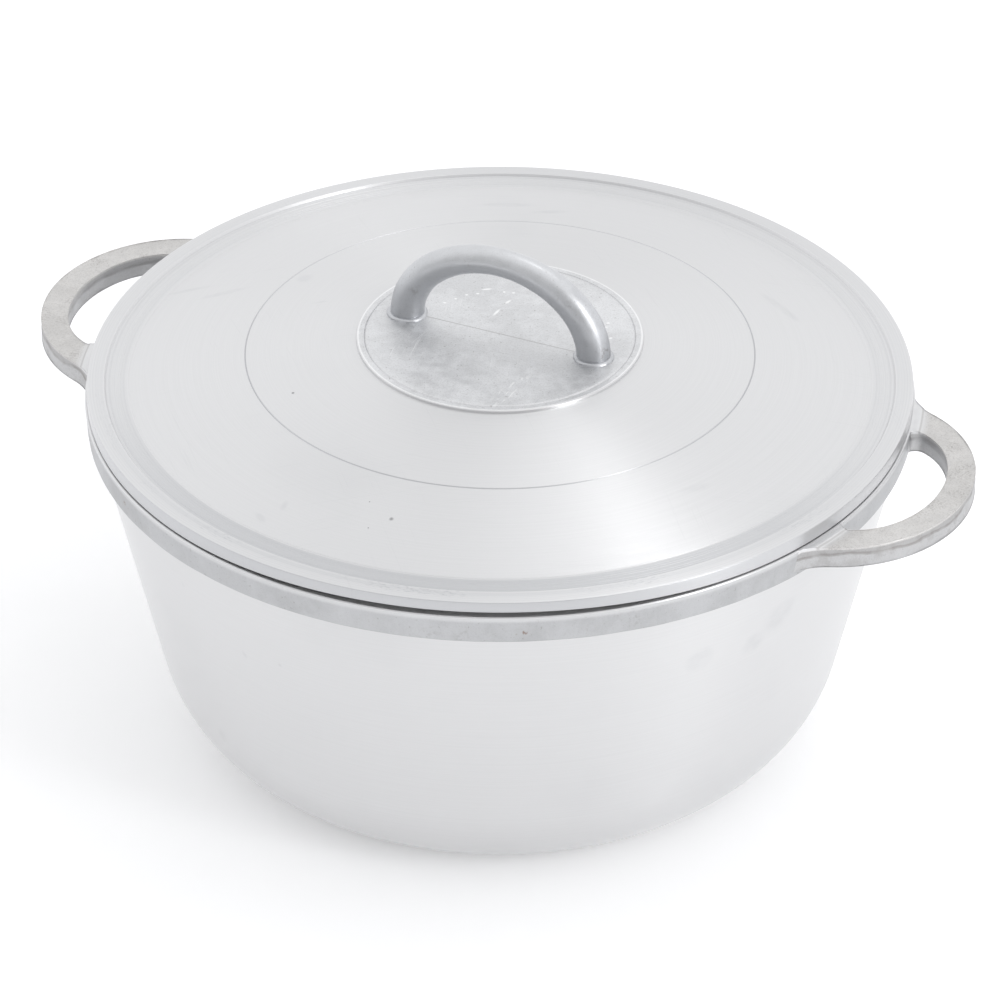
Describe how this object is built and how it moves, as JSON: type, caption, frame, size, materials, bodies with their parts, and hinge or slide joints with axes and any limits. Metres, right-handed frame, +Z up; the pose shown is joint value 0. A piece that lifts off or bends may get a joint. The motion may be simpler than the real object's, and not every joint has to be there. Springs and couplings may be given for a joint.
{
  "type": "stock pot",
  "caption": "Round cast-aluminium stock pot with a leaning wall, thick rim, loop ears and a loose domed lid with an arched grip.",
  "frame": {"origin": "centre of the flat base, on the surface that the pot stands on", "axes": "+X through the two ears and along the lid's arched grip, +Z up out of the pot's mouth"},
  "size_m": [0.435, 0.362, 0.2346],
  "materials": {
    "turned_aluminium": "lathe-turned, satin, with fine concentric tool lines",
    "cast_aluminium": "as-cast from sand, matt grey, slightly pitted"
  },
  "bodies": {
    "pot": {"pot_body": "turned_aluminium", "rim_band": "cast_aluminium", "ear_right": "cast_aluminium", "ear_left": "cast_aluminium"},
    "lid": {"lid_plate": "turned_aluminium", "lid_spigot": "turned_aluminium", "lid_hub": "cast_aluminium", "lid_handle": "cast_aluminium"}
  },
  "joints": [
    {"name": "lid_lift", "type": "slide", "parent": "pot", "child": "lid", "axis": [0, 0, 1], "range_m": [0, 0.2]}
  ]
}
